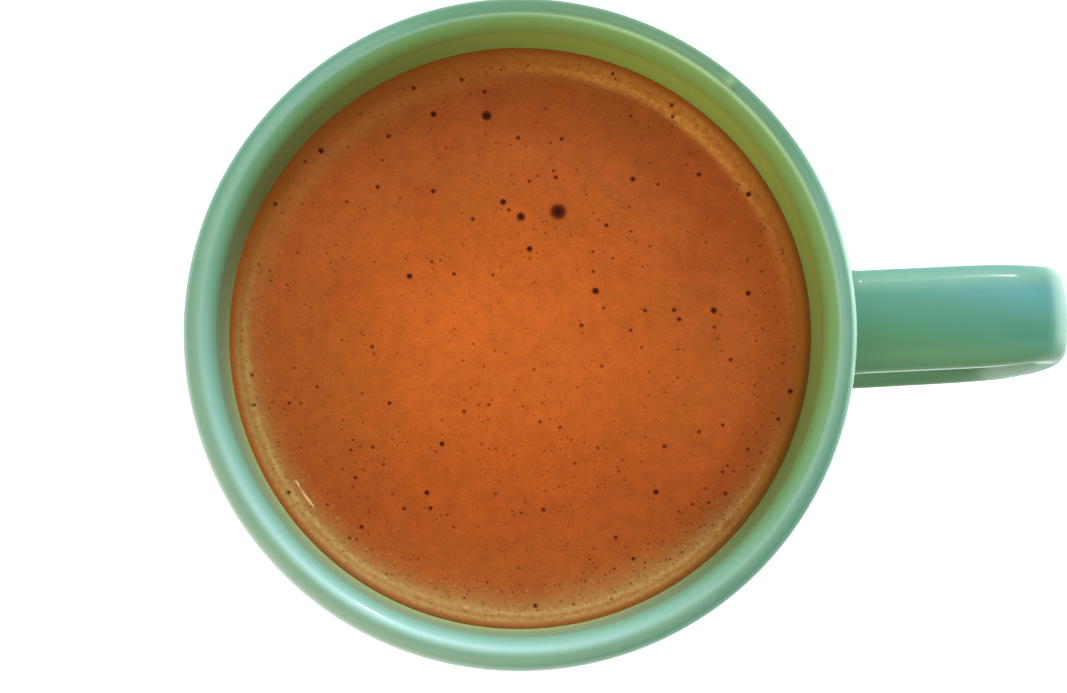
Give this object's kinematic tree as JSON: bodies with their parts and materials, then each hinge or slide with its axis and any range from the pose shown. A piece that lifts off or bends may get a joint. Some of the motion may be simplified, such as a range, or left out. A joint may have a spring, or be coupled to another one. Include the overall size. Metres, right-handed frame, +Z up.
{
  "type": "cup of doodh patti chai",
  "caption": "Round glazed stoneware mug with a squared strap handle, filled nearly to the rim with frothy orange-brown milk tea.",
  "frame": {"origin": "middle of the cup's flat base, on the cup's own axis", "axes": "+Z up along the cup's axis, +X towards the handle, which is symmetric about the XZ plane"},
  "size_m": [0.1133, 0.0826, 0.086],
  "materials": {
    "celadon_glaze": "glossy celadon-green ceramic glaze on stoneware, paler where it thins at the lip and edges, bare buff clay on the flat base",
    "milky_tea": "milky orange-brown tea under a fine even froth with dark open bubbles, wet sheen"
  },
  "bodies": {
    "root": {"mug": "celadon_glaze", "chai": "milky_tea"}
  },
  "joints": []
}
